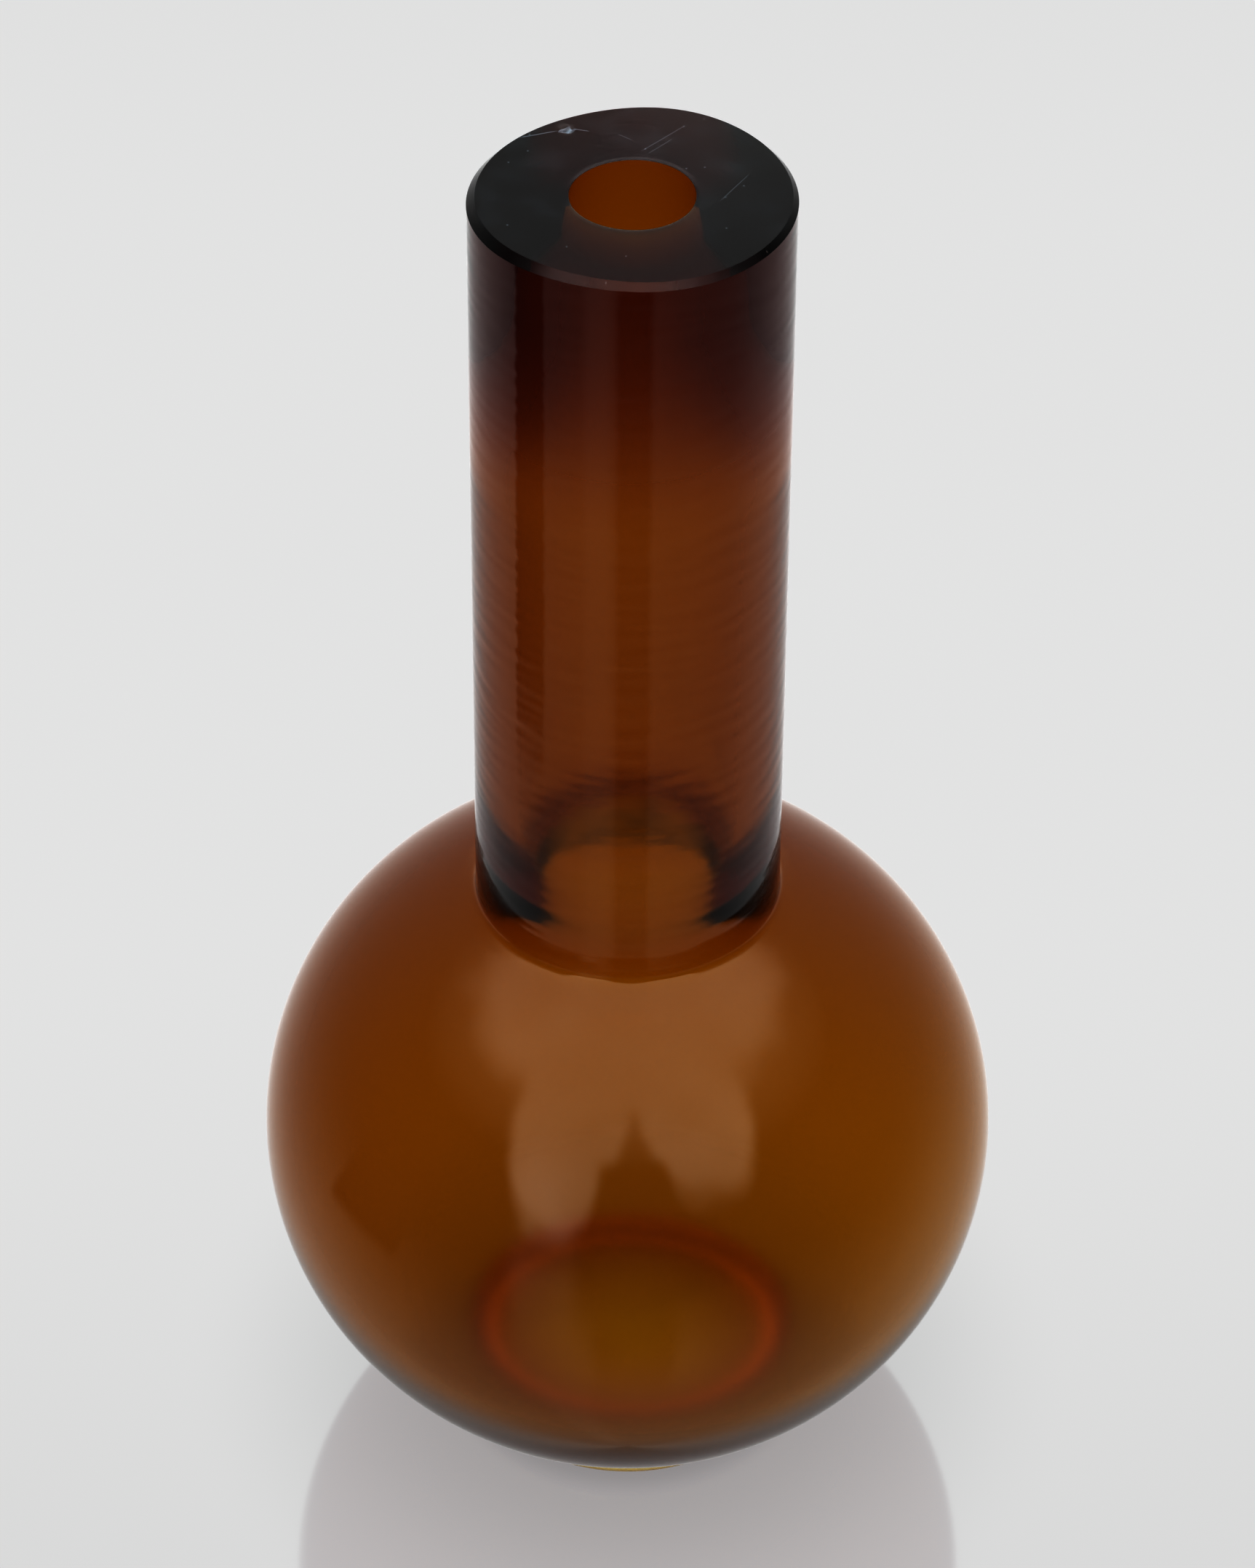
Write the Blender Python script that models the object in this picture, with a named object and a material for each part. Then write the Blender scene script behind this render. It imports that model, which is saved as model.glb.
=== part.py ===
"""Long-necked flask of thick amber glass, blown and cold-worked in one piece.

A squat globe stands on a low foot ring and carries a long straight neck. The
bore is narrow at the thick mouth, widens lower down, draws in a little again
and flares into the round cavity. The whole outline, inside and outside, is one
profile turned about the Z axis. Units are metres, +Z is up, and the origin is
on the floor under the middle of the foot.
"""

import math

import bmesh
import bpy

# Overall sizes.
HEIGHT = 0.257
GLOBE_RADIUS = 0.065
GLOBE_HALF_HEIGHT = 0.0613
GLOBE_CENTRE_Z = 0.0615

# Neck, slightly tapered, with a flat ground mouth.
NECK_TOP_RADIUS = 0.0255
NECK_BASE_RADIUS = 0.0262
MOUTH_CHAMFER = 0.0011
SHOULDER_FILLET = 0.0016

# Hollow: a bore that is drawn in towards the mouth and flares into the round
# cavity. The depths are measured down from the mouth.
BORE_RADIUS = 0.0097
BORE_ARRIS = 0.0003
THROAT_RADIUS = 0.0109
THROAT_DEPTH = 0.015
WIDENING_DEPTH = 0.017
WIDENING_LENGTH = 0.036
LOWER_BORE_RADIUS = 0.0184
NARROWING_DEPTH = 0.117
NARROWING_LENGTH = 0.023
BORE_BASE_RADIUS = 0.0168
FLARE_FILLET = 0.014
CAVITY_RADIUS = 0.0598
CAVITY_ABOVE = 0.0538
CAVITY_BELOW = 0.0527
CAVITY_CENTRE_Z = 0.0600

# Foot ring, cut from the same glass as the globe.
FOOT_TOP_RADIUS = 0.0309
FOOT_RADIUS = 0.0313
FOOT_FILLET = 0.0012
FOOT_ARRIS = 0.0006
FOOT_RING_WIDTH = 0.0042
RECESS_DEPTH = 0.0030
RECESS_FILLET = 0.0015

# Facets.
TURN_STEPS = 64
NECK_STEPS = 6
FILLET_STEPS = 3
FLARE_STEPS = 6
WIDENING_STEPS = 8
NARROWING_STEPS = 4
GLOBE_STEPS = 16
CAVITY_STEPS = 8

AXIS_MERGE = 1e-6
SHARP_ANGLE = math.radians(32)


def ellipse_point(half_width, half_height, centre_z, turn):
    """Point of an ellipse about the axis; turn runs from the top pole, 0, to the bottom, pi."""
    return (half_width * math.sin(turn), centre_z + half_height * math.cos(turn))


def ellipse_normal(half_width, half_height, turn):
    """Outward unit normal of that ellipse, as (radial, up)."""
    radial = math.sin(turn) / half_width
    up = math.cos(turn) / half_height
    length = math.hypot(radial, up)
    return (radial / length, up / length)


def fillet_to_tube(half_width, half_height, centre_z, tube_radius, fillet, from_top):
    """Where a fillet outside an ellipse also touches a coaxial tube: its turn and centre."""
    low = 0.0 if from_top else math.pi
    high = math.pi / 2
    for _ in range(60):
        turn = (low + high) / 2
        radius, _z = ellipse_point(half_width, half_height, centre_z, turn)
        radial, _up = ellipse_normal(half_width, half_height, turn)
        if radius + fillet * radial < tube_radius + fillet:
            low = turn
        else:
            high = turn
    radius, z = ellipse_point(half_width, half_height, centre_z, turn)
    radial, up = ellipse_normal(half_width, half_height, turn)
    return turn, (radius + fillet * radial, z + fillet * up)


def arc(centre, radius, start, end, steps):
    """Points on a circle in the profile plane, angles from +X towards +Z."""
    points = []
    for i in range(steps + 1):
        angle = start + (end - start) * i / steps
        points.append((centre[0] + radius * math.cos(angle), centre[1] + radius * math.sin(angle)))
    return points


def ellipse_arc(half_width, half_height, centre_z, start, end, steps):
    points = []
    for i in range(steps + 1):
        turn = start + (end - start) * i / steps
        points.append(ellipse_point(half_width, half_height, centre_z, turn))
    return points


def swelling(low_radius, high_radius, top_depth, length, steps):
    """Bore wall from a lower radius, at the bottom, through a smooth swell to an upper one."""
    points = []
    for i in range(steps + 1):
        share = 1 - i / steps
        swell = share * share * (3 - 2 * share)
        radius = high_radius + (low_radius - high_radius) * swell
        points.append((radius, HEIGHT - top_depth - length * share))
    return points


def bore_profile():
    """From the narrow foot of the bore up its wide part and the throat to the mouth."""
    points = swelling(
        BORE_BASE_RADIUS, LOWER_BORE_RADIUS, NARROWING_DEPTH, NARROWING_LENGTH, NARROWING_STEPS
    )
    points += swelling(
        LOWER_BORE_RADIUS, THROAT_RADIUS, WIDENING_DEPTH, WIDENING_LENGTH, WIDENING_STEPS
    )
    points.append((THROAT_RADIUS, HEIGHT - THROAT_DEPTH))
    points.append((BORE_RADIUS, HEIGHT - BORE_ARRIS))
    points.append((BORE_RADIUS + BORE_ARRIS, HEIGHT))
    return points


def hollow_profile():
    """From the bottom of the cavity up its wall, round the flare and up the bore."""
    turn, centre = fillet_to_tube(
        CAVITY_RADIUS, CAVITY_ABOVE, CAVITY_CENTRE_Z, BORE_BASE_RADIUS, FLARE_FILLET, True
    )
    radial, up = ellipse_normal(CAVITY_RADIUS, CAVITY_ABOVE, turn)
    below = ellipse_arc(
        CAVITY_RADIUS, CAVITY_BELOW, CAVITY_CENTRE_Z, math.pi, math.pi / 2, CAVITY_STEPS
    )
    above = ellipse_arc(
        CAVITY_RADIUS, CAVITY_ABOVE, CAVITY_CENTRE_Z, math.pi / 2, turn, CAVITY_STEPS
    )
    contact = math.atan2(-up, -radial)
    flare = arc(centre, FLARE_FILLET, contact + 2 * math.pi, math.pi, FLARE_STEPS)
    return below + above[1:] + flare[1:] + bore_profile()


def neck_radius(z, base_z):
    share = (z - base_z) / (HEIGHT - base_z)
    return NECK_BASE_RADIUS + (NECK_TOP_RADIUS - NECK_BASE_RADIUS) * share


def outside_profile():
    """From the mouth's chamfer down the neck and the globe to the foot."""
    turn, centre = fillet_to_tube(
        GLOBE_RADIUS, GLOBE_HALF_HEIGHT, GLOBE_CENTRE_Z, NECK_BASE_RADIUS, SHOULDER_FILLET, True
    )
    radial, up = ellipse_normal(GLOBE_RADIUS, GLOBE_HALF_HEIGHT, turn)
    base_z = centre[1]
    top_z = HEIGHT - MOUTH_CHAMFER
    neck = [(NECK_TOP_RADIUS - MOUTH_CHAMFER, HEIGHT)]
    for i in range(NECK_STEPS):
        z = top_z + (base_z - top_z) * i / NECK_STEPS
        neck.append((neck_radius(z, base_z), z))
    contact = math.atan2(-up, -radial)
    shoulder = arc(centre, SHOULDER_FILLET, math.pi, contact + 2 * math.pi, FILLET_STEPS)
    foot_turn, foot_centre = fillet_to_tube(
        GLOBE_RADIUS, GLOBE_HALF_HEIGHT, GLOBE_CENTRE_Z, FOOT_TOP_RADIUS, FOOT_FILLET, False
    )
    globe = ellipse_arc(
        GLOBE_RADIUS, GLOBE_HALF_HEIGHT, GLOBE_CENTRE_Z, turn, foot_turn, GLOBE_STEPS
    )
    radial, up = ellipse_normal(GLOBE_RADIUS, GLOBE_HALF_HEIGHT, foot_turn)
    foot_contact = math.atan2(-up, -radial)
    corner = arc(foot_centre, FOOT_FILLET, foot_contact, math.pi, FILLET_STEPS)
    return neck + shoulder + globe[1:] + corner[1:]


def foot_profile():
    """From the foot's outer arris across its flat ring and the recess to the axis."""
    ring_inside = FOOT_RADIUS - FOOT_RING_WIDTH
    ring = [
        (FOOT_RADIUS, FOOT_ARRIS),
        (FOOT_RADIUS - FOOT_ARRIS, 0.0),
        (ring_inside + FOOT_ARRIS, 0.0),
        (ring_inside, FOOT_ARRIS),
    ]
    centre = (ring_inside - RECESS_FILLET, RECESS_DEPTH - RECESS_FILLET)
    recess = arc(centre, RECESS_FILLET, 0.0, math.pi / 2, FILLET_STEPS)
    middle = [(ring_inside * 0.55, RECESS_DEPTH), (0.0, RECESS_DEPTH)]
    return ring + recess + middle


def turned_mesh(name, profile):
    """Closed mesh from a profile turned once about the Z axis."""
    bm = bmesh.new()
    verts = [bm.verts.new((radius, 0.0, z)) for radius, z in profile]
    edges = [bm.edges.new(pair) for pair in zip(verts, verts[1:])]
    bmesh.ops.spin(
        bm,
        geom=verts + edges,
        cent=(0.0, 0.0, 0.0),
        axis=(0.0, 0.0, 1.0),
        angle=2 * math.pi,
        steps=TURN_STEPS,
        use_merge=True,
    )
    bmesh.ops.remove_doubles(bm, verts=bm.verts[:], dist=AXIS_MERGE)
    bmesh.ops.recalc_face_normals(bm, faces=bm.faces[:])
    mesh = bpy.data.meshes.new(name)
    bm.to_mesh(mesh)
    bm.free()
    mesh.shade_smooth()
    mesh.set_sharp_from_angle(angle=SHARP_ANGLE)
    return mesh


def amber_glass():
    material = bpy.data.materials.new("amber_glass")
    material.use_nodes = True
    shader = material.node_tree.nodes["Principled BSDF"]
    shader.inputs["Base Color"].default_value = (0.36, 0.11, 0.008, 1.0)
    shader.inputs["Roughness"].default_value = 0.06
    shader.inputs["Metallic"].default_value = 0.0
    shader.inputs["IOR"].default_value = 1.52
    shader.inputs["Transmission Weight"].default_value = 0.9
    return material


def build_flask():
    profile = hollow_profile() + outside_profile() + foot_profile()
    mesh = turned_mesh("flask", profile)
    mesh.materials.append(amber_glass())
    flask = bpy.data.objects.new("flask", mesh)
    bpy.context.scene.collection.objects.link(flask)
    return flask


def main():
    for old in list(bpy.data.objects):
        bpy.data.objects.remove(old, do_unlink=True)
    build_flask()


main()
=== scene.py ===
"""Looks of the long-necked amber glass flask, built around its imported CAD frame.

The glass is one turned surface, finer than the CAD facets, with the small
unevenness of hand work. Units are metres, +Z is up, the foot stands on z = 0,
and the camera looks along +Y.
"""

import math

import bpy
import numpy as np
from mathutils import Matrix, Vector


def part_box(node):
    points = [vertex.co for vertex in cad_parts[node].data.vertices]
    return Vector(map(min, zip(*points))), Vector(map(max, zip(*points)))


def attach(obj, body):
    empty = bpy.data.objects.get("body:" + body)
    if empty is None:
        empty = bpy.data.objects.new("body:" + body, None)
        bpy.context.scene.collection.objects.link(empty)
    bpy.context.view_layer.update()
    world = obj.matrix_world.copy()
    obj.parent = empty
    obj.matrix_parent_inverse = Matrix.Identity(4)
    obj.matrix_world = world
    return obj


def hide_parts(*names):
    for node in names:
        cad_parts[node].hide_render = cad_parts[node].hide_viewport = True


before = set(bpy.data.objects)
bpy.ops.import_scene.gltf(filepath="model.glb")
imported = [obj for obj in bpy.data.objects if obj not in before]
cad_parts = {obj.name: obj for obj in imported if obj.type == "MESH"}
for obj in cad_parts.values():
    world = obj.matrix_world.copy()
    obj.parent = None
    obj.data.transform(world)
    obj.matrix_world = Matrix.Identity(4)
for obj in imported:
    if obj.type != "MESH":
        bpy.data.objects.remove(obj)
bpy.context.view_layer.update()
low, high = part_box("flask")

# ---------------------------------------------------------------- dimensions
# The overall sizes come from the frame; the rest are the CAD's own constants.
HEIGHT = high.z - low.z
GLOBE_RADIUS = (high.x - low.x) / 2
GLOBE_HALF_HEIGHT = 0.0613
GLOBE_CENTRE_Z = 0.0615
NECK_TOP_RADIUS = 0.0255
NECK_BASE_RADIUS = 0.0262
MOUTH_CHAMFER = 0.0011
SHOULDER_FILLET = 0.0016
BORE_RADIUS = 0.0097
BORE_ARRIS = 0.0003
THROAT_RADIUS = 0.0109
THROAT_DEPTH = 0.015
LOWER_BORE_RADIUS = 0.0184
WIDENING_DEPTH = 0.017
WIDENING_LENGTH = 0.036
BORE_BASE_RADIUS = 0.0168
NARROWING_DEPTH = 0.117
NARROWING_LENGTH = 0.023
FLARE_FILLET = 0.014
CAVITY_RADIUS = 0.0598
CAVITY_ABOVE = 0.0538
CAVITY_BELOW = 0.0527
CAVITY_CENTRE_Z = 0.0600
FOOT_TOP_RADIUS = 0.0309
FOOT_RADIUS = 0.0313
FOOT_FILLET = 0.0012
FOOT_ARRIS = 0.0006
FOOT_RING_WIDTH = 0.0042
RECESS_DEPTH = 0.0030
RECESS_FILLET = 0.0015

TURN_STEPS = 224
RING_GAP = 0.0022
SHARP_ANGLE = math.radians(35)

# ---------------------------------------------------------------- hand work
# The neck leans towards +X by this slope, from this share of the globe's upper half.
LEAN = 0.0052
LEAN_START = 0.8
# The hollow of the globe sits off the axis; the shift fades out between two heights.
CAVITY_SHIFT = 0.0006
SHIFT_FADE = (0.070, 0.110)
# The chamfer is this much narrower towards +X and wider towards -X.
RIM_UNEVEN = 0.00026
# Chip in the mouth face: its centre, half sizes, depth, and the radians per metre and the
# share of the depth of its shell-like ridges.
CHIP = (-0.0096, 0.0187)
CHIP_SIZE = (0.0013, 0.0009)
CHIP_DEPTH = 0.0006
CHIP_RIDGES = (5200, 3100)
CHIP_RIDGE_SHARE = 0.3
# The mouth face is slightly twisted and dished, and the top FACE_ZONE of the neck with it.
FACE_TWIST = 0.02
FACE_TWIST_WAVE = 105
FACE_DISH = 0.6
FACE_LEVEL_RADIUS = 0.0003 ** 0.5
FACE_ZONE = 0.004
# Waves in the bottom of the hollow, between two heights and inside a radius.
WAVE = 0.00012
WAVE_HEIGHTS = (0.0062, 0.022)
WAVE_RADIUS = 0.030
WAVE_REACH = 1.3

# ---------------------------------------------------------------- glass
# Absorption per metre in red, green and blue.
ABSORB = (56.5, 121.0, 600.0)
GLASS_IOR = 1.5
OUTER_ROUGHNESS = 0.06
INNER_ROUGHNESS = 0.16
BORE_ROUGHNESS = 0.45
FLARE_ROUGHNESS = 0.8
MOUTH_ROUGHNESS = 0.14
BOTTOM_ROUGHNESS = 0.40
UNDER_ROUGHNESS = 0.60
# Depths under the mouth between which the bore's ground finish fades out.
GROUND_DEPTHS = (0.048, 0.030)
BOTTOM_HEIGHTS = (0.012, 0.030)
UNDER_HEIGHTS = (0.0032, 0.0075)
# Tool marks at the back of the flare: where the band fades in and out.
FLARE_LOW = (0.1125, 0.1165)
FLARE_TOP = (0.121, 0.127)
FLARE_BACK = (-0.006, 0.006)
# Painted glow of the tool marks, emitted by the glass: where it fades in towards the back, its strength
# and its colour.
FLARE_LIT_BACK = (0.004, 0.014)
FLARE_LIGHT = 0.30
FLARE_GLOW_COLOR = (1.0, 0.66, 0.42, 1.0)
# Colour of the painted glints and sheen on the mouth face, emitted by the glass.
MOUTH_GLINT_COLOR = (0.70, 0.86, 1.0, 1.0)
GRAIN_SCALE = 160.0
GRAIN_SQUASH = (1.0, 1.0, 9.0)
POLISH_HEIGHT = 0.00006
POLISH_SCALE = (130.0, 130.0, 480.0)
# Marks on the mouth face, each from one end to the other, with its half width.
CRACKS = (
    ((-0.0170, 0.0165), (-0.0106, 0.0186), 0.00016),
    ((-0.0086, 0.0190), (-0.0058, 0.0181), 0.00014),
)
# Strength of the painted glint along the crack, emitted by the glass.
CRACK_LIGHT = 0.30
SCRATCHES = (
    ((0.0018, 0.0118), (0.0096, 0.0196), 0.00013),
    ((0.0030, 0.0112), (0.0072, 0.0156), 0.00011),
    ((-0.0016, 0.0172), (0.0008, 0.0152), 0.00011),
    ((0.0140, -0.0020), (0.0190, 0.0060), 0.00011),
)
# Strengths of the painted glints along the scratches and on the chip, of the painted sheen on the mouth
# face, and of the painted glints on dust specks, all emitted by the glass.
SCRATCH_LIGHT = 0.16
CHIP_LIGHT = 0.34
MOUTH_SHEEN_LIGHT = (0.004, 0.026)
DUST_LIGHT = 0.30
DUST_SCALE = 330.0
DUST_RARITY = 0.88
DUST_RADIUS = 0.00020

# ---------------------------------------------------------------- studio
# Brightness of the plain backdrop and of what the glass mirrors: overhead softbox, dark room,
# white sweep behind, table, light strip at the left, and the camera's stand.
BACKDROP = 0.873
SOFTBOX = 3.0
ROOM = 0.13
SWEEP = 1.1
TABLE = 0.95
STRIP = 1.05
STAND = 0.16
# Brightness of the high backdrop seen through the glass, and the elevations where it sets in.
THROUGH_HIGH = 0.6
THROUGH_ELEVATIONS = (18.0, 38.0)
# Directions in degrees. A lobe is an azimuth, how far it is full and where it ends.
STRIP_LOBE = (-24.0, 5.0, 13.0)
STAND_LOBE = (2.0, 9.0, 15.0)
GLOW_LOBE = (-28.0, 2.0, 14.0)
LEFT_LOBE = (-24.0, 4.0, 30.0)
RIGHT_LOBE = (30.0, 6.0, 30.0)
# The softbox starts at this elevation, and lower by these drops in its lobes and behind.
SOFTBOX_EDGE = 49.0
SOFTBOX_FADE = 7.0
LEFT_DROP = 41.0
RIGHT_DROP = 29.0
BACK_DROP = 9.0
GLOW = 0.9
# Unevenness of the edges, in degrees, and of the softbox's brightness for each degree of it.
RAGGED = 14.0
RAGGED_SCALE = 3.0
MOTTLE = 0.09
# The table. A shade has the distances from the foot's middle where it starts and ends, and
# its level at the start.
FLOOR_HALF_SIZE = 30.0
FLOOR_GAP = 0.0001
FLOOR_NEAR = 0.825
FLOOR_FAR = 0.85
FLOOR_IOR = 1.50
FLOOR_ROUGHNESS = 0.06
FLOOR_SHADE = (0.020, 0.085, 0.80)
FOOT_SHADE = (0.0305, 0.0375, 0.88)
# Painted light on the table inside the foot ring and under it, and where one turns to the other.
UNDER_FOOT_PAINTED_LIGHT = (0.98, 2.4)
RING_START = (0.0262, 0.0278)
MIRROR_TINT = (0.94, 1.05, 1.0)
MIRROR_FADE = (0.25, 0.60)
# Painted shade round the foot, and a painted dark patch on the table, both seen only as the globe
# mirrors the table.
MIRROR_CLOSE = (0.030, 0.120, 0.82)
DARK_PATCH_AZIMUTH = -math.radians(74)
DARK_PATCH_HALF_WIDTH = (0.18, 0.24)
DARK_PATCH_DISTANCE = (0.20, 0.26)

# ---------------------------------------------------------------- camera
CAMERA_DISTANCE = 9.1456 * 0.065
CAMERA_HEIGHT = 9.8189 * 0.065
CAMERA_PITCH = math.radians(40.02)
LENS = 105.13
SENSOR_WIDTH = 36.0

# ---------------------------------------------------------------- outline


def smooth_step(value, start, end):
    """Smooth rise from 0 at start to 1 at end."""
    share = np.clip((value - start) / (end - start), 0.0, 1.0)
    return share * share * (3 - 2 * share)


def ellipse(half_width, half_height, centre_z, turn):
    """Point and outward normal at turn from the top pole, each as (radial, up)."""
    point = (half_width * math.sin(turn), centre_z + half_height * math.cos(turn))
    normal = Vector((math.sin(turn) / half_width, math.cos(turn) / half_height)).normalized()
    return point, normal


def touch_tube(half_width, half_height, centre_z, tube_radius, fillet, from_top):
    """Turn, normal and centre of the fillet that touches an ellipse from outside and a tube."""
    near = 0.0 if from_top else math.pi
    far = math.pi / 2
    for _ in range(60):
        turn = (near + far) / 2
        point, normal = ellipse(half_width, half_height, centre_z, turn)
        if point[0] + fillet * normal.x < tube_radius + fillet:
            near = turn
        else:
            far = turn
    return turn, normal, (point[0] + fillet * normal.x, point[1] + fillet * normal.y)


def arc(centre, radius, start, end, gap):
    """Points on a circle in the profile plane, no further apart than gap."""
    steps = max(2, math.ceil(radius * abs(end - start) / gap))
    points = []
    for i in range(steps + 1):
        angle = start + (end - start) * i / steps
        points.append((centre[0] + radius * math.cos(angle), centre[1] + radius * math.sin(angle)))
    return points


def ellipse_arc(half_width, half_height, centre_z, start, end, gap):
    steps = max(2, math.ceil(half_width * abs(end - start) / gap))
    turns = [start + (end - start) * i / steps for i in range(steps + 1)]
    return [ellipse(half_width, half_height, centre_z, turn)[0] for turn in turns]


def line(start, end, gap):
    """Points from start to end, without start."""
    steps = max(1, math.ceil(math.dist(start, end) / gap))
    points = []
    for i in range(1, steps + 1):
        share = i / steps
        radius = start[0] + (end[0] - start[0]) * share
        points.append((radius, start[1] + (end[1] - start[1]) * share))
    return points


def bore_radius(depth):
    """Radius of the bore at a depth under the mouth: narrow throat, wide lower tube."""
    throat = BORE_RADIUS + (THROAT_RADIUS - BORE_RADIUS) * min(1.0, depth / THROAT_DEPTH)
    swell = smooth_step(depth, WIDENING_DEPTH, WIDENING_DEPTH + WIDENING_LENGTH)
    shrink = smooth_step(depth, NARROWING_DEPTH, NARROWING_DEPTH + NARROWING_LENGTH)
    swell = (LOWER_BORE_RADIUS - THROAT_RADIUS) * float(swell)
    return throat + swell - (LOWER_BORE_RADIUS - BORE_BASE_RADIUS) * float(shrink)


def bore_outline(bottom, top):
    steps = math.ceil((top - bottom) / RING_GAP)
    heights = [bottom + (top - bottom) * i / steps for i in range(1, steps + 1)]
    return [(bore_radius(HEIGHT - z), z) for z in heights]


def inside_outline():
    """Cavity from its bottom, flare and bore up to the mouth."""
    lower = (CAVITY_RADIUS, CAVITY_BELOW, CAVITY_CENTRE_Z)
    upper = (CAVITY_RADIUS, CAVITY_ABOVE, CAVITY_CENTRE_Z)
    turn, normal, centre = touch_tube(*upper, BORE_BASE_RADIUS, FLARE_FILLET, True)
    points = ellipse_arc(*lower, math.pi, math.pi / 2, RING_GAP)
    points += ellipse_arc(*upper, math.pi / 2, turn, RING_GAP)[1:]
    contact = math.atan2(-normal.y, -normal.x) + 2 * math.pi
    points += arc(centre, FLARE_FILLET, contact, math.pi, RING_GAP / 2)[1:]
    points += bore_outline(centre[1], HEIGHT - BORE_ARRIS)
    points.append((BORE_RADIUS + BORE_ARRIS * 0.3, HEIGHT - BORE_ARRIS * 0.3))
    return points


def mouth_outline():
    """Flat ground mouth from the bore's arris to the chamfer."""
    start = (BORE_RADIUS + BORE_ARRIS, HEIGHT)
    end = (NECK_TOP_RADIUS - MOUTH_CHAMFER, HEIGHT)
    return [start] + line(start, end, RING_GAP / 3)


def neck_outline():
    """Neck from the chamfer down to the shoulder fillet, and the globe's turn where that ends."""
    globe = (GLOBE_RADIUS, GLOBE_HALF_HEIGHT, GLOBE_CENTRE_Z)
    turn, normal, centre = touch_tube(*globe, NECK_BASE_RADIUS, SHOULDER_FILLET, True)
    start = (NECK_TOP_RADIUS, HEIGHT - MOUTH_CHAMFER)
    points = [start] + line(start, (NECK_BASE_RADIUS, centre[1]), RING_GAP)
    contact = math.atan2(-normal.y, -normal.x) + 2 * math.pi
    return points + arc(centre, SHOULDER_FILLET, math.pi, contact, RING_GAP / 4)[1:], turn


def globe_outline(start_turn):
    """Globe from the shoulder down to the corner over the foot."""
    globe = (GLOBE_RADIUS, GLOBE_HALF_HEIGHT, GLOBE_CENTRE_Z)
    turn, normal, centre = touch_tube(*globe, FOOT_TOP_RADIUS, FOOT_FILLET, False)
    points = ellipse_arc(*globe, start_turn, turn, RING_GAP)[1:]
    contact = math.atan2(-normal.y, -normal.x)
    return points + arc(centre, FOOT_FILLET, contact, math.pi, RING_GAP / 5)[1:]


def foot_outline(top):
    """Foot ring, from the corner under the globe across the ring and the recess to the axis."""
    inside = FOOT_RADIUS - FOOT_RING_WIDTH
    points = line(top, (FOOT_RADIUS, FOOT_ARRIS), RING_GAP / 3)
    outer_centre = (FOOT_RADIUS - FOOT_ARRIS, FOOT_ARRIS)
    inner_centre = (inside + FOOT_ARRIS, FOOT_ARRIS)
    points += arc(outer_centre, FOOT_ARRIS, 0.0, -math.pi / 2, RING_GAP / 8)[1:]
    points += arc(inner_centre, FOOT_ARRIS, -math.pi / 2, -math.pi, RING_GAP / 8)
    centre = (inside - RECESS_FILLET, RECESS_DEPTH - RECESS_FILLET)
    points += arc(centre, RECESS_FILLET, 0.0, math.pi / 2, RING_GAP / 5)
    return points + line(points[-1], (0.0, RECESS_DEPTH), RING_GAP)


# ---------------------------------------------------------------- the glass mesh


def turned(profile):
    """Vertices and faces of the closed profile turned about the axis; both its ends are on it."""
    angles = np.arange(TURN_STEPS) * 2 * math.pi / TURN_STEPS
    rings = np.array(profile[1:-1])
    radius = np.repeat(rings[:, :1], TURN_STEPS, 1)
    z = np.repeat(rings[:, 1:], TURN_STEPS, 1)
    grid = np.stack([radius * np.cos(angles), radius * np.sin(angles), z], -1).reshape(-1, 3)
    poles = np.array([[0.0, 0.0, profile[0][1]], [0.0, 0.0, profile[-1][1]]])
    count = len(rings)
    first_pole = count * TURN_STEPS
    last_pole = first_pole + 1
    last_ring = (count - 1) * TURN_STEPS
    faces = []
    for j in range(TURN_STEPS):
        k = (j + 1) % TURN_STEPS
        faces.append((first_pole, j, k))
        faces.append((last_pole, last_ring + k, last_ring + j))
        for i in range(count - 1):
            near = i * TURN_STEPS
            far = near + TURN_STEPS
            faces.append((near + j, far + j, far + k, near + k))
    return np.vstack([grid, poles]), faces


def chip_mouth(x, y, z):
    """Shallow shell-shaped chip in the mouth face."""
    along = (x - CHIP[0]) / CHIP_SIZE[0]
    across = (y - CHIP[1]) / CHIP_SIZE[1]
    bite = np.clip(1 - along * along - across * across, 0, 1) * (z > HEIGHT - 0.0001)
    ridges = np.sin(x * CHIP_RIDGES[0] + y * CHIP_RIDGES[1])
    ridges = 1 - CHIP_RIDGE_SHARE + CHIP_RIDGE_SHARE * ridges
    z -= CHIP_DEPTH * np.sqrt(bite) * ridges


def dish_mouth(x, y, z):
    """Slight twist and dish of the mouth face and the edges next to it."""
    twist = FACE_TWIST * y * np.sin(x * FACE_TWIST_WAVE)
    dish = FACE_DISH * (y * y - FACE_LEVEL_RADIUS ** 2)
    z += np.where(z > HEIGHT - FACE_ZONE, twist + dish, 0)


def wave_bottom(x, y, z):
    """Waviness in the bottom of the hollow, strongest in the middle; its rates are per metre."""
    spread = np.hypot(x, y) / WAVE_RADIUS
    wave = np.sin(x * 310 + 1.0) * np.sin(y * 270 - 0.4) + 0.5 * np.sin(x * 160 - y * 530)
    near_foot = (z > WAVE_HEIGHTS[0]) & (z < WAVE_HEIGHTS[1]) & (spread < WAVE_REACH)
    z += np.where(near_foot, WAVE * wave * np.clip(WAVE_REACH - spread, 0, 0.5) * 2, 0)


def lean_neck(points):
    start = GLOBE_CENTRE_Z + GLOBE_HALF_HEIGHT * LEAN_START
    points[:, 0] += np.clip(points[:, 2] - start, 0, None) * LEAN


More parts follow.
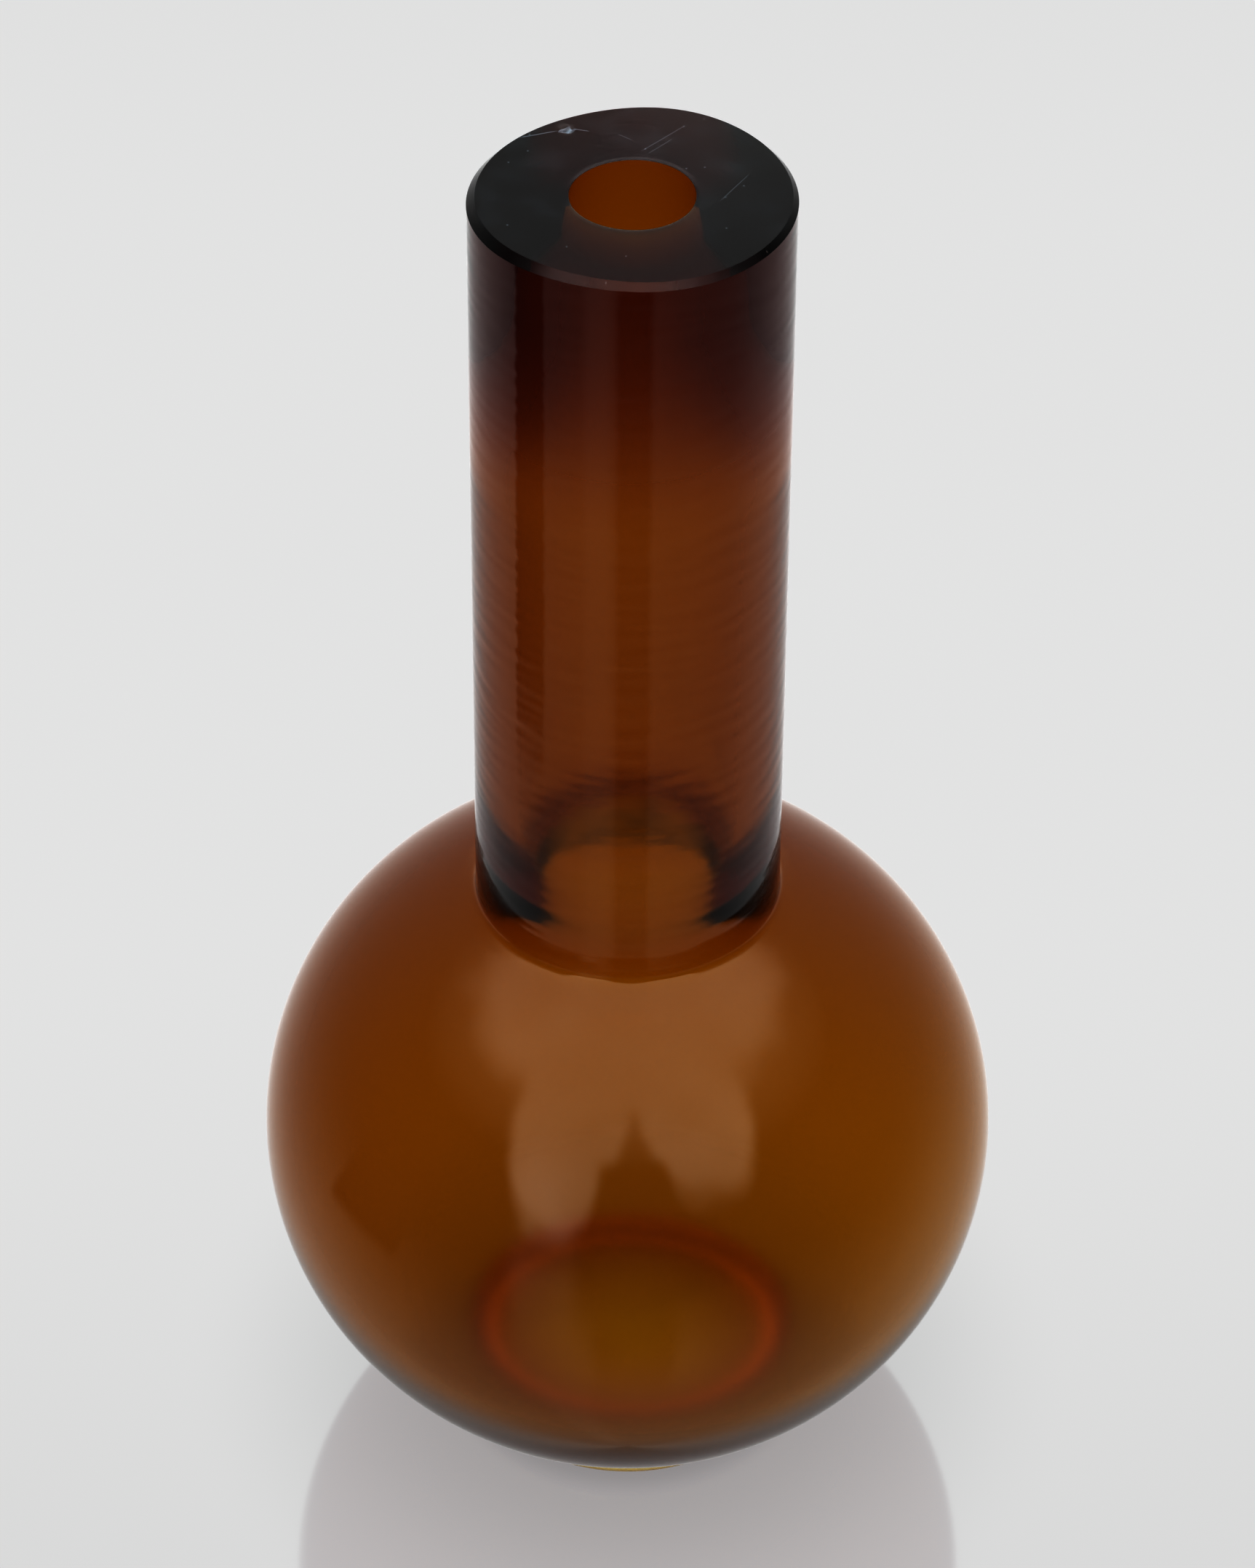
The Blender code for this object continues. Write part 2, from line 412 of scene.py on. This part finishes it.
def wear_rim(points, rim):
    """Chamfer a little wider on one side; rim is the index of the first vertex of its inner edge."""
    outer = rim + TURN_STEPS
    uneven = -RIM_UNEVEN * points[rim:outer, 0] / NECK_TOP_RADIUS
    points[rim:outer, :2] *= (1 - uneven / NECK_TOP_RADIUS)[:, None]
    points[outer:outer + TURN_STEPS, 2] -= uneven


def shift_hollow(points, count):
    """Moves the lower hollow, which is made of the first count vertices, off the axis."""
    fading = 1 - smooth_step(points[:count, 2], *SHIFT_FADE)
    points[:count, 0] += CAVITY_SHIFT * fading


def mark_zones(mesh, sizes):
    """Point attributes that are one in each stretch of the outline and nothing elsewhere."""
    count = len(mesh.vertices)
    start = 0
    for name, size in sizes.items():
        values = np.zeros(count, np.float32)
        values[max(start - 1, 0) * TURN_STEPS:(start - 1 + size) * TURN_STEPS] = 1.0
        if name == "inside":
            values[-2] = 1.0
        attribute = mesh.attributes.new(name, "FLOAT", "POINT")
        attribute.data.foreach_set("value", values)
        start += size


def glass_mesh():
    inside = inside_outline()
    mouth = mouth_outline()
    neck, turn = neck_outline()
    globe = globe_outline(turn)
    profile = inside + mouth + neck + globe + foot_outline(globe[-1])
    points, faces = turned(profile)
    lean_neck(points)
    wear_rim(points, (len(inside) + len(mouth) - 2) * TURN_STEPS)
    chip_mouth(*points.T)
    dish_mouth(*points.T)
    wave_bottom(*points.T)
    shift_hollow(points, len(inside) * TURN_STEPS)
    mesh = bpy.data.meshes.new("flask_glass")
    mesh.from_pydata(points.tolist(), [], faces)
    mark_zones(mesh, {"inside": len(inside), "mouth": len(mouth), "neck": len(neck)})
    mesh.shade_smooth()
    mesh.set_sharp_from_angle(angle=SHARP_ANGLE)
    return mesh


# ---------------------------------------------------------------- node helpers


class Graph:
    """Short names for the nodes of one tree."""

    def __init__(self, tree):
        self.tree = tree

    def add(self, kind, **values):
        made = self.tree.nodes.new(kind)
        for key, value in values.items():
            setattr(made, key, value)
        return made

    def put(self, socket, value):
        if isinstance(value, bpy.types.NodeSocket):
            self.tree.links.new(value, socket)
        else:
            socket.default_value = value

    def math(self, operation, a, b=0.0, c=None):
        made = self.add("ShaderNodeMath", operation=operation)
        self.put(made.inputs[0], a)
        self.put(made.inputs[1], b)
        if c is not None:
            self.put(made.inputs[2], c)
        return made.outputs[0]

    def plus(self, a, b):
        return self.math("ADD", a, b)

    def minus(self, a, b):
        return self.math("SUBTRACT", a, b)

    def times(self, a, b):
        return self.math("MULTIPLY", a, b)

    def step(self, value, start, end, low=0.0, high=1.0):
        """Smooth change from low at start to high at end."""
        made = self.add("ShaderNodeMapRange", interpolation_type="SMOOTHSTEP")
        names = ("Value", "From Min", "From Max", "To Min", "To Max")
        for name, given in zip(names, (value, start, end, low, high)):
            self.put(made.inputs[name], given)
        return made.outputs[0]

    def fade(self, value, start, end, high=1.0):
        """Smooth fall from high at start to nothing at end."""
        return self.step(value, start, end, high, 0.0)

    def near(self, value, centre, inner, outer, high=1.0):
        """High within inner of a centre, fading to nothing at outer."""
        apart = self.math("ABSOLUTE", self.minus(value, centre))
        return self.fade(apart, inner, outer, high)

    def blend(self, share, a, b):
        made = self.add("ShaderNodeMix", data_type="FLOAT")
        self.put(made.inputs["Factor"], share)
        self.put(made.inputs["A"], a)
        self.put(made.inputs["B"], b)
        return made.outputs[0]

    def blend_colors(self, share, a, b):
        made = self.add("ShaderNodeMix", data_type="RGBA")
        self.put(made.inputs["Factor"], share)
        for name, color in (("A", a), ("B", b)):
            socket = next(i for i in made.inputs if i.name == name and i.type == "RGBA")
            self.put(socket, color)
        return next(o for o in made.outputs if o.type == "RGBA")

    def split(self, vector):
        made = self.add("ShaderNodeSeparateXYZ")
        self.put(made.inputs[0], vector)
        return made.outputs

    def scaled(self, vector, scale):
        made = self.add("ShaderNodeMapping")
        self.put(made.inputs["Vector"], vector)
        made.inputs["Scale"].default_value = scale
        return made.outputs[0]

    def noise(self, vector, scale, detail):
        made = self.add("ShaderNodeTexNoise")
        self.put(made.inputs["Vector"], vector)
        self.put(made.inputs["Scale"], scale)
        self.put(made.inputs["Detail"], detail)
        return made.outputs["Fac"]

    def attribute(self, name):
        return self.add("ShaderNodeAttribute", attribute_name=name).outputs["Fac"]

    def look(self, studio, direction):
        """Brightness of the studio in a direction."""
        made = self.add("ShaderNodeGroup")
        made.node_tree = studio
        self.put(made.inputs[0], direction)
        return made.outputs[0]

    def elevation(self, z):
        """Degrees above the horizon of a unit direction whose upward part is z."""
        return self.times(self.math("ARCSINE", z), 180 / math.pi)

    def azimuth(self, x, y):
        """Angle round +Z from the camera's side, growing to its right."""
        return self.math("ARCTAN2", x, self.times(y, -1.0))


# ---------------------------------------------------------------- glass material


def stroke(graph, x, y, start, end, width):
    """One inside a straight stroke across the XY plane, nothing outside it."""
    length = math.dist(start, end)
    ux = (end[0] - start[0]) / length
    uy = (end[1] - start[1]) / length
    dx = graph.minus(x, start[0])
    dy = graph.minus(y, start[1])
    along = graph.plus(graph.times(dx, ux), graph.times(dy, uy))
    across = graph.minus(graph.times(dy, ux), graph.times(dx, uy))
    thin = graph.fade(graph.math("ABSOLUTE", across), width * 0.3, width)
    ends = graph.times(graph.step(along, 0.0, length * 0.15), graph.fade(along, length * 0.8, length))
    return graph.times(thin, ends)


def strokes(graph, x, y, table, light):
    total = 0.0
    for start, end, width in table:
        total = graph.plus(stroke(graph, x, y, start, end, width), total)
    return graph.times(total, light)


def specks(graph, position, scale, rarity, radius):
    """Round specks of one radius, at most one to a cell and only in the rarest cells."""
    cells = graph.add("ShaderNodeTexVoronoi", voronoi_dimensions="2D")
    graph.put(cells.inputs["Vector"], position)
    graph.put(cells.inputs["Scale"], scale)
    tint = graph.add("ShaderNodeSeparateColor")
    graph.put(tint.inputs[0], cells.outputs["Color"])
    chosen = graph.step(tint.outputs[0], rarity, rarity + 0.01)
    size = radius * scale
    return graph.times(chosen, graph.fade(cells.outputs["Distance"], size * 0.4, size))


def chip_glint(graph, x, y):
    """Painted glint on the ridged floor of the chip, emitted by the glass."""
    along = graph.times(graph.minus(x, CHIP[0]), 1 / CHIP_SIZE[0])
    across = graph.times(graph.minus(y, CHIP[1]), 1 / CHIP_SIZE[1])
    apart = graph.plus(graph.times(along, along), graph.times(across, across))
    ridge = graph.math("SINE", graph.plus(graph.times(along, 4.2), graph.times(across, -3.1)))
    apart = graph.times(apart, graph.math("MULTIPLY_ADD", ridge, 0.45, 1.0))
    inside = graph.fade(apart, 0.55, 1.0)
    return graph.times(inside, graph.math("MULTIPLY_ADD", ridge, 0.16, CHIP_LIGHT))


def painted_face_glints(graph, x, y, position, grain):
    """Painted glints of the chip, the fine crack, the scratches and the specks on the mouth face, and a
    painted sheen, all emitted by the glass.
    """
    lines = graph.plus(
        strokes(graph, x, y, CRACKS, CRACK_LIGHT),
        strokes(graph, x, y, SCRATCHES, SCRATCH_LIGHT),
    )
    # Painted sheen on the mouth face, stronger towards the back.
    sheen = graph.step(grain, 0.42, 0.72, *MOUTH_SHEEN_LIGHT)
    sheen = graph.times(sheen, graph.step(y, -0.016, -0.004))
    # Painted glints on dust specks.
    dust_glints = specks(graph, position, DUST_SCALE, DUST_RARITY, DUST_RADIUS)
    dust_glints = graph.times(dust_glints, DUST_LIGHT)
    glints = graph.plus(lines, chip_glint(graph, x, y))
    return graph.plus(glints, graph.plus(sheen, dust_glints))


def tool_marks(graph, y, z):
    """One in the tooled band at the back of the flare, nothing elsewhere."""
    band = graph.times(graph.step(z, *FLARE_LOW), graph.fade(z, *FLARE_TOP))
    return graph.times(band, graph.step(y, *FLARE_BACK))


def glass_roughness(graph, z, grain, tooled):
    """Ground bore, streaky tooled flare, rougher bottom and underside, polished elsewhere."""
    streaky = graph.step(grain, 0.40, 0.62, FLARE_ROUGHNESS * 0.6, FLARE_ROUGHNESS)
    ground = graph.step(z, HEIGHT - GROUND_DEPTHS[0], HEIGHT - GROUND_DEPTHS[1])
    inner = graph.blend(ground, INNER_ROUGHNESS, BORE_ROUGHNESS)
    inner = graph.blend(tooled, inner, streaky)
    inner = graph.blend(graph.fade(z, *BOTTOM_HEIGHTS), inner, BOTTOM_ROUGHNESS)
    outer = graph.step(z, *UNDER_HEIGHTS, UNDER_ROUGHNESS, OUTER_ROUGHNESS)
    rough = graph.blend(graph.attribute("inside"), outer, inner)
    return graph.blend(graph.attribute("mouth"), rough, MOUTH_ROUGHNESS)


def flare_glint(graph, y, grain, tooled):
    """Painted glow, emitted by the glass, where the tooled band at the back of the flare catches light.
    """
    band = graph.times(tooled, graph.step(y, *FLARE_LIT_BACK))
    band = graph.times(band, graph.attribute("inside"))
    light = graph.step(grain, 0.3, 0.7, FLARE_LIGHT * 0.6, FLARE_LIGHT * 1.4)
    return graph.times(band, light)


def polishing_lines(graph, position):
    """Normal with the fine polishing lines round the neck."""
    lines = graph.noise(graph.scaled(position, POLISH_SCALE), 1.0, 0.0)
    lines = graph.times(lines, graph.times(graph.attribute("neck"), POLISH_HEIGHT))
    bump = graph.add("ShaderNodeBump")
    graph.put(bump.inputs["Height"], lines)
    bump.inputs["Distance"].default_value = 1.0
    return bump.outputs[0]


def absorb(graph, output):
    """Colour of the glass, by absorption along the light's way through it."""
    dense = max(ABSORB)
    volume = graph.add("ShaderNodeVolumeAbsorption")
    volume.inputs["Color"].default_value = (*[1 - a / dense for a in ABSORB], 1.0)
    volume.inputs["Density"].default_value = dense
    graph.put(output.inputs["Volume"], volume.outputs["Volume"])


def glass_material():
    material = bpy.data.materials.new("amber_glass")
    material.use_nodes = True
    tree = material.node_tree
    shader = tree.nodes["Principled BSDF"]
    shader.inputs["Base Color"].default_value = (1.0, 1.0, 1.0, 1.0)
    shader.inputs["IOR"].default_value = GLASS_IOR
    shader.inputs["Transmission Weight"].default_value = 1.0
    graph = Graph(tree)
    position = graph.add("ShaderNodeNewGeometry").outputs["Position"]
    x, y, z = graph.split(position)
    grain = graph.noise(graph.scaled(position, GRAIN_SQUASH), GRAIN_SCALE, 1.0)
    tooled = tool_marks(graph, y, z)
    mouth = graph.attribute("mouth")
    mouth_glints = graph.times(painted_face_glints(graph, x, y, position, grain), mouth)
    # Painted light: the glass emits the glow of the flare's tool marks and the glints and sheen of the
    # mouth face.
    light = graph.plus(flare_glint(graph, y, grain, tooled), mouth_glints)
    graph.put(shader.inputs["Roughness"], glass_roughness(graph, z, grain, tooled))
    tint = graph.blend_colors(mouth, FLARE_GLOW_COLOR, MOUTH_GLINT_COLOR)
    graph.put(shader.inputs["Emission Color"], tint)
    graph.put(shader.inputs["Emission Strength"], light)
    graph.put(shader.inputs["Normal"], polishing_lines(graph, position))
    absorb(graph, tree.nodes["Material Output"])
    return material


# ---------------------------------------------------------------- studio
# Elevation and azimuth are in degrees; side is how far round from the camera, either way.


def room_level(graph, azimuth, side, elevation, ragged):
    """Dark room in front and at the sides, white sweep behind, white table below."""
    sweep = graph.step(side, 75.0, 160.0, ROOM, SWEEP)
    beside = graph.step(side, 60.0, 110.0)
    drop = graph.minus(graph.times(beside, 10.0), elevation)
    table = graph.step(graph.plus(drop, graph.times(ragged, 0.5)), 2.0, 48.0)
    level = graph.math("MULTIPLY_ADD", beside, 0.18, TABLE)
    # Steeply down behind the vessel the table is darker.
    steep = graph.fade(elevation, -58.0, -38.0, 0.33)
    level = graph.minus(level, graph.times(graph.step(side, 120.0, 165.0), steep))
    room = graph.blend(table, sweep, level)
    room = graph.math("MAXIMUM", room, graph.step(elevation, 22.0, 48.0))
    strip = graph.near(azimuth, *STRIP_LOBE)
    strip = graph.times(strip, graph.step(elevation, -10.0, 0.0, 1.0, 0.55))
    return graph.blend(strip, room, STRIP)


def softbox_share(graph, azimuth, side, elevation, ragged):
    """How far a direction lies in the overhead softbox: lower in front in two lobes, and behind."""
    left = graph.near(azimuth, *LEFT_LOBE, LEFT_DROP)
    right = graph.near(azimuth, *RIGHT_LOBE, RIGHT_DROP)
    behind = graph.step(side, 130.0, 155.0, 0.0, BACK_DROP)
    drop = graph.plus(graph.math("MAXIMUM", left, right), behind)
    edge = graph.minus(SOFTBOX_EDGE, drop)
    above = graph.minus(graph.plus(elevation, ragged), edge)
    return graph.step(above, -SOFTBOX_FADE, SOFTBOX_FADE)


def softbox_level(graph, azimuth, elevation, ragged):
    """Brightness of the softbox: mottled, with a hot spot at its lower left."""
    glow = graph.near(azimuth, *GLOW_LOBE)
    glow = graph.times(glow, graph.fade(elevation, 20.0, 44.0))
    mottled = graph.math("MULTIPLY_ADD", ragged, MOTTLE, SOFTBOX)
    return graph.math("MULTIPLY_ADD", glow, GLOW, mottled)


def stand_share(graph, azimuth, elevation):
    """How far a direction lies on the camera and its stand, right in front."""
    stand = graph.near(azimuth, *STAND_LOBE)
    stand = graph.times(stand, graph.step(elevation, -60.0, -26.0))
    return graph.times(stand, graph.fade(elevation, 30.0, 38.0))


def studio_group():
    """Brightness of the studio round the vessel in each direction, as its glass mirrors it."""
    tree = bpy.data.node_groups.new("studio", "ShaderNodeTree")
    tree.interface.new_socket("Direction", in_out="INPUT", socket_type="NodeSocketVector")
    tree.interface.new_socket("Brightness", in_out="OUTPUT", socket_type="NodeSocketFloat")
    graph = Graph(tree)
    direction = graph.add("NodeGroupInput").outputs[0]
    x, y, z = graph.split(direction)
    elevation = graph.elevation(z)
    azimuth = graph.times(graph.azimuth(x, y), 180 / math.pi)
    side = graph.math("ABSOLUTE", azimuth)
    noise = graph.noise(direction, RAGGED_SCALE, 2.0)
    ragged = graph.times(graph.minus(noise, 0.5), RAGGED)
    room = room_level(graph, azimuth, side, elevation, ragged)
    softbox = softbox_level(graph, azimuth, elevation, ragged)
    sky = graph.blend(softbox_share(graph, azimuth, side, elevation, ragged), room, softbox)
    total = graph.blend(stand_share(graph, azimuth, elevation), sky, STAND)
    graph.put(graph.add("NodeGroupOutput").inputs[0], total)
    return tree


# ---------------------------------------------------------------- table


def table_tone(graph, y):
    """Tone of the bare table: a little darker near the camera and far behind."""
    near = graph.step(y, -0.12, 0.12, FLOOR_NEAR, BACKDROP)
    far = graph.step(y, 0.35, 0.70, 0.0, BACKDROP - FLOOR_FAR)
    return graph.minus(near, far)


def table_shade(graph, reach):
    """Painted soft shade round the foot, and painted light on the table under the foot ring and inside
    it.
    """
    start, end, level = FLOOR_SHADE
    shade = graph.step(reach, start, end, level, 1.0)
    start, end, level = FOOT_SHADE
    shade = graph.times(shade, graph.step(reach, start, end, level, 1.0))
    # Painted light under the foot ring, brighter than the bare table.
    under = graph.step(reach, *RING_START, *UNDER_FOOT_PAINTED_LIGHT)
    outside = graph.step(reach, FOOT_RADIUS - 0.001, FOOT_RADIUS - 0.0003)
    return graph.blend(outside, under, shade)


def mirror_share(graph, reach):
    """How much the glossy table mirrors: not under the foot, and less far away."""
    mirror = graph.add("ShaderNodeFresnel")
    graph.put(mirror.inputs["IOR"], FLOOR_IOR)
    share = graph.times(mirror.outputs[0], graph.fade(reach, *MIRROR_FADE))
    return graph.times(share, graph.step(reach, FOOT_RADIUS - 0.003, FOOT_RADIUS - 0.001))


def turned_back(graph, incoming):
    """The way the ray travels, which is incoming turned back."""
    away = graph.add("ShaderNodeVectorMath", operation="SCALE")
    graph.put(away.inputs[0], incoming)
    away.inputs["Scale"].default_value = -1.0
    return away.outputs[0]


def plain_table(graph, studio, geometry, away, reach, y):
    """Even table, marked only by the vessel: its own light gives back what the studio's mirror adds."""
    up = graph.add("ShaderNodeVectorMath", operation="REFLECT")
    graph.put(up.inputs[0], away)
    graph.put(up.inputs[1], geometry.outputs["Normal"])
    share = mirror_share(graph, reach)
    shade = table_shade(graph, reach)
    tone = table_tone(graph, y)
    lost = graph.times(share, graph.look(studio, up.outputs[0]))
    own = graph.add("ShaderNodeCombineColor")
    mirrored = graph.add("ShaderNodeCombineColor")
    for channel, tint in enumerate(MIRROR_TINT):
        left = graph.minus(tone, graph.times(lost, tint))
        graph.put(own.inputs[channel], graph.times(left, shade))
        graph.put(mirrored.inputs[channel], graph.times(share, tint))
    bare = graph.add("ShaderNodeEmission")
    graph.put(bare.inputs["Color"], own.outputs[0])
    gloss = graph.add("ShaderNodeBsdfAnisotropic")
    graph.put(gloss.inputs["Color"], mirrored.outputs[0])
    graph.put(gloss.inputs["Roughness"], FLOOR_ROUGHNESS)
    plain = graph.add("ShaderNodeAddShader")
    graph.put(plain.inputs[0], bare.outputs[0])
    graph.put(plain.inputs[1], gloss.outputs[0])
    return plain.outputs[0]


def table_in_glass(graph, studio, away, reach, x, y):
    """The table as the glass mirrors it: the studio's look, a painted dark patch and painted shade by
    the foot.
    """
    around = graph.azimuth(x, y)
    # Painted dark patch, seen only in the glass's reflection of the table.
    dark_patch = graph.near(around, DARK_PATCH_AZIMUTH, *DARK_PATCH_HALF_WIDTH)
    dark_patch = graph.times(dark_patch, graph.step(reach, *DARK_PATCH_DISTANCE))
    start, end, level = MIRROR_CLOSE
    close = graph.step(reach, start, end, level, 1.0)
    strength = graph.blend(dark_patch, graph.look(studio, away), STAND)
    mirrored = graph.add("ShaderNodeEmission")
    graph.put(mirrored.inputs["Strength"], graph.times(strength, close))
    return mirrored.outputs[0]


def floor_material(studio):
    """Glossy white table, seen directly or through the glass, and as the glass mirrors it."""
    material = bpy.data.materials.new("pale_floor")
    material.use_nodes = True
    tree = material.node_tree
    tree.nodes.remove(tree.nodes["Principled BSDF"])
    graph = Graph(tree)
    geometry = graph.add("ShaderNodeNewGeometry")
    distance = graph.add("ShaderNodeVectorMath", operation="LENGTH")
    graph.put(distance.inputs[0], geometry.outputs["Position"])
    reach = distance.outputs["Value"]
    x, y, _z = graph.split(geometry.outputs["Position"])
    away = turned_back(graph, geometry.outputs["Incoming"])
    path = graph.add("ShaderNodeLightPath")
    straight = graph.minus(1.0, path.outputs["Is Transmission Ray"])
    mix = graph.add("ShaderNodeMixShader")
    graph.put(mix.inputs[0], graph.times(path.outputs["Is Glossy Ray"], straight))
    graph.put(mix.inputs[1], plain_table(graph, studio, geometry, away, reach, y))
    graph.put(mix.inputs[2], table_in_glass(graph, studio, away, reach, x, y))
    graph.put(tree.nodes["Material Output"].inputs["Surface"], mix.outputs[0])
    return material


# ---------------------------------------------------------------- stage, light, camera


def build_floor(studio):
    mesh = bpy.data.meshes.new("floor")
    half = FLOOR_HALF_SIZE
    corners = [(-half, -half, 0), (half, -half, 0), (half, half, 0), (-half, half, 0)]
    mesh.from_pydata(corners, [], [(0, 1, 2, 3)])
    mesh.materials.append(floor_material(studio))
    floor = bpy.data.objects.new("floor", mesh)
    floor.location.z = low.z - FLOOR_GAP
    bpy.context.scene.collection.objects.link(floor)


def build_world(studio):
    """Plain backdrop for the camera and through the glass, the studio for everything else."""
    world = bpy.data.worlds.new("studio")
    bpy.context.scene.world = world
    world.use_nodes = True
    graph = Graph(world.node_tree)
    background = world.node_tree.nodes["Background"]
    direction = graph.add("ShaderNodeTexCoord").outputs["Generated"]
    elevation = graph.elevation(graph.split(direction)[2])
    through = graph.step(elevation, *THROUGH_ELEVATIONS, BACKDROP, THROUGH_HIGH)
    path = graph.add("ShaderNodeLightPath")
    look = graph.look(studio, direction)
    seen = graph.blend(path.outputs["Is Transmission Ray"], look, through)
    seen = graph.blend(path.outputs["Is Camera Ray"], seen, BACKDROP)
    graph.put(background.inputs["Strength"], seen)
    background.inputs["Color"].default_value = (1.0, 1.0, 1.0, 1.0)


def build_camera():
    data = bpy.data.cameras.new("camera")
    data.lens = LENS
    data.sensor_width = SENSOR_WIDTH
    camera = bpy.data.objects.new("camera", data)
    camera.location = (0.0, -CAMERA_DISTANCE, low.z + CAMERA_HEIGHT)
    camera.rotation_euler = (math.pi / 2 - CAMERA_PITCH, 0.0, 0.0)
    bpy.context.scene.collection.objects.link(camera)
    bpy.context.scene.camera = camera


def set_look():
    """Tone curve, and enough bounces for light to cross the thick glass."""
    scene = bpy.context.scene
    scene.view_settings.view_transform = "Standard"
    scene.view_settings.gamma = 0.5
    scene.cycles.max_bounces = 24
    scene.cycles.transmission_bounces = 24
    scene.cycles.glossy_bounces = 12


def build_flask():
    mesh = glass_mesh()
    mesh.materials.append(glass_material())
    flask = bpy.data.objects.new("flask_glass", mesh)
    bpy.context.scene.collection.objects.link(flask)
    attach(flask, "root")
    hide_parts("flask")


def main():
    build_flask()
    studio = studio_group()
    build_floor(studio)
    build_world(studio)
    build_camera()
    set_look()


main()
